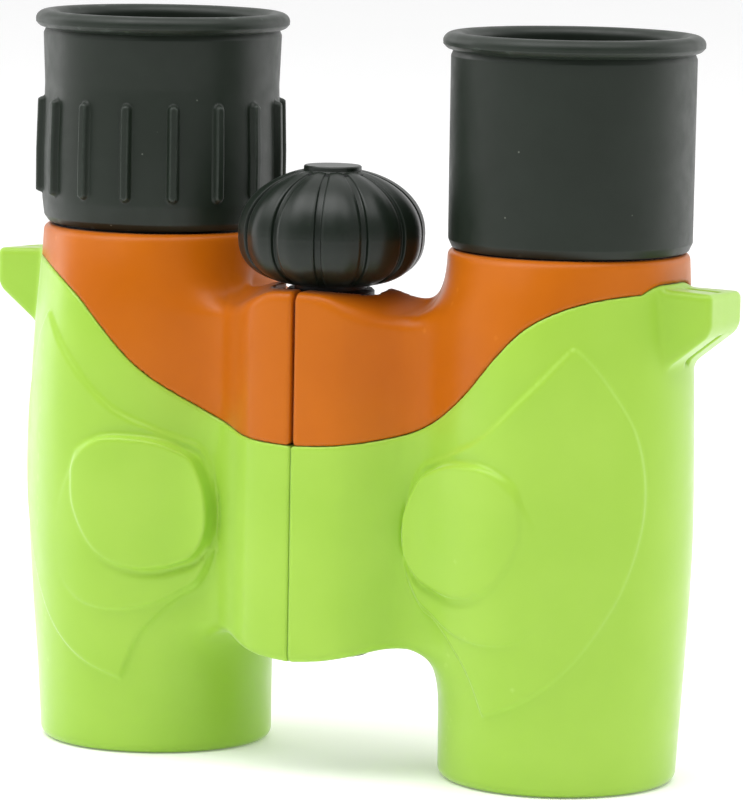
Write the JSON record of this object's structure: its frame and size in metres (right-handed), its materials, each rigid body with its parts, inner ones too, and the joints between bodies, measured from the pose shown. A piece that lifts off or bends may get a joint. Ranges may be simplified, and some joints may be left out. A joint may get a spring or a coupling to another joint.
{
  "type": "binoculars",
  "caption": "Compact child's roof-prism binoculars with two straight barrels on a centre hinge, a ball-shaped focus wheel and rubber eyecups.",
  "frame": {"origin": "centre of the rest plane under the two objective ends, in the middle of the bounding box", "axes": "+Z along the barrels from the objective ends to the eyecups, +X towards the barrel for the user's left eye, -Y the ridge side"},
  "size_m": [0.1044, 0.0386, 0.0988],
  "materials": {
    "green_armour": "satin moulded rubber",
    "orange_armour": "satin moulded plastic",
    "black_rubber": "matte moulded rubber",
    "black_plastic": "matte",
    "coated_glass": "polished, coated",
    "clear_glass": "polished",
    "spring_steel": "brushed",
    "steel": "turned",
    "anodised_aluminium": "matte black anodised",
    "brass": "turned"
  },
  "bodies": {
    "left_half": {"left_chassis": "black_plastic", "left_lower_armour": "green_armour", "left_upper_armour": "orange_armour", "left_objective_cell": "black_plastic", "left_objective_crown_lens": "coated_glass", "left_objective_flint_lens": "clear_glass", "left_objective_retainer": "black_plastic", "left_prism_cage": "black_plastic", "left_half_penta_prism": "clear_glass", "left_roof_prism": "clear_glass", "left_prism_clip": "spring_steel", "left_eyepiece_tube": "black_plastic", "left_field_stop": "black_plastic", "left_field_lens": "clear_glass", "left_eye_lens": "coated_glass", "left_lens_spacer": "anodised_aluminium", "left_eye_lens_ring": "black_plastic", "left_eyecup": "black_rubber", "hinge_pin": "steel", "hinge_sleeve": "steel", "hinge_cap": "black_plastic", "lower_hinge_washer": "spring_steel", "upper_hinge_washer": "spring_steel"},
    "right_half": {"right_chassis": "black_plastic", "right_lower_armour": "green_armour", "right_upper_armour": "orange_armour", "right_objective_cell": "black_plastic", "right_objective_crown_lens": "coated_glass", "right_objective_flint_lens": "clear_glass", "right_objective_retainer": "black_plastic", "right_prism_cage": "black_plastic", "right_half_penta_prism": "clear_glass", "right_roof_prism": "clear_glass", "right_prism_clip": "spring_steel", "right_eyepiece_guide": "black_plastic"},
    "focus_wheel": {"focus_wheel_grip": "black_rubber", "focus_wheel_hub": "black_plastic", "focus_wheel_cap": "black_rubber", "focus_spindle": "steel", "spindle_clip": "spring_steel"},
    "focus_carriage": {"focus_carriage": "black_plastic", "focus_nut": "brass"},
    "left_focus_cell": {"left_focus_cell": "black_plastic", "left_focus_lens": "clear_glass"},
    "right_focus_cell": {"right_focus_cell": "black_plastic", "right_focus_lens": "clear_glass"},
    "dioptre_ring": {"dioptre_ring": "black_plastic", "right_eyecup": "black_rubber"},
    "right_eyepiece": {"right_eyepiece_slider": "anodised_aluminium", "right_field_stop": "black_plastic", "right_field_lens": "clear_glass", "right_eye_lens": "coated_glass", "right_lens_spacer": "anodised_aluminium", "right_eye_lens_ring": "black_plastic"}
  },
  "joints": [
    {"name": "interpupillary_hinge", "type": "hinge", "parent": "left_half", "child": "right_half", "pos_m": [0, -0.00698, 0.04], "axis": [0, 0, 1], "range_deg": [-40, 0]},
    {"name": "focus_turn", "type": "hinge", "parent": "left_half", "child": "focus_wheel", "pos_m": [0, -0.00698, 0.0713], "axis": [0, 0, 1], "range_deg": [-225, 225]},
    {"name": "carriage_slide", "type": "slide", "parent": "left_half", "child": "focus_carriage", "axis": [0, 0, 1], "range_m": [-0.00251, 0.00251]},
    {"name": "left_focus_slide", "type": "slide", "parent": "left_half", "child": "left_focus_cell", "axis": [0, 0, 1], "range_m": [-0.00251, 0.00251]},
    {"name": "right_focus_slide", "type": "slide", "parent": "right_half", "child": "right_focus_cell", "axis": [0, 0, 1], "range_m": [-0.00251, 0.00251]},
    {"name": "dioptre_turn", "type": "hinge", "parent": "right_half", "child": "dioptre_ring", "pos_m": [-0.0302, 0.00219, 0.08], "axis": [0, 0, 1], "range_deg": [-60, 60]},
    {"name": "dioptre_slide", "type": "slide", "parent": "right_half", "child": "right_eyepiece", "axis": [0, 0, 1], "range_m": [-0.00141, 0.00141]}
  ],
  "couplings": [
    {"joint": "carriage_slide", "follows": "focus_turn", "m_per_rad": 0.00063662},
    {"joint": "left_focus_slide", "follows": "focus_turn", "m_per_rad": 0.00063662},
    {"joint": "right_focus_slide", "follows": "focus_turn", "m_per_rad": 0.00063662},
    {"joint": "dioptre_slide", "follows": "dioptre_turn", "m_per_rad": 0.0013369}
  ]
}
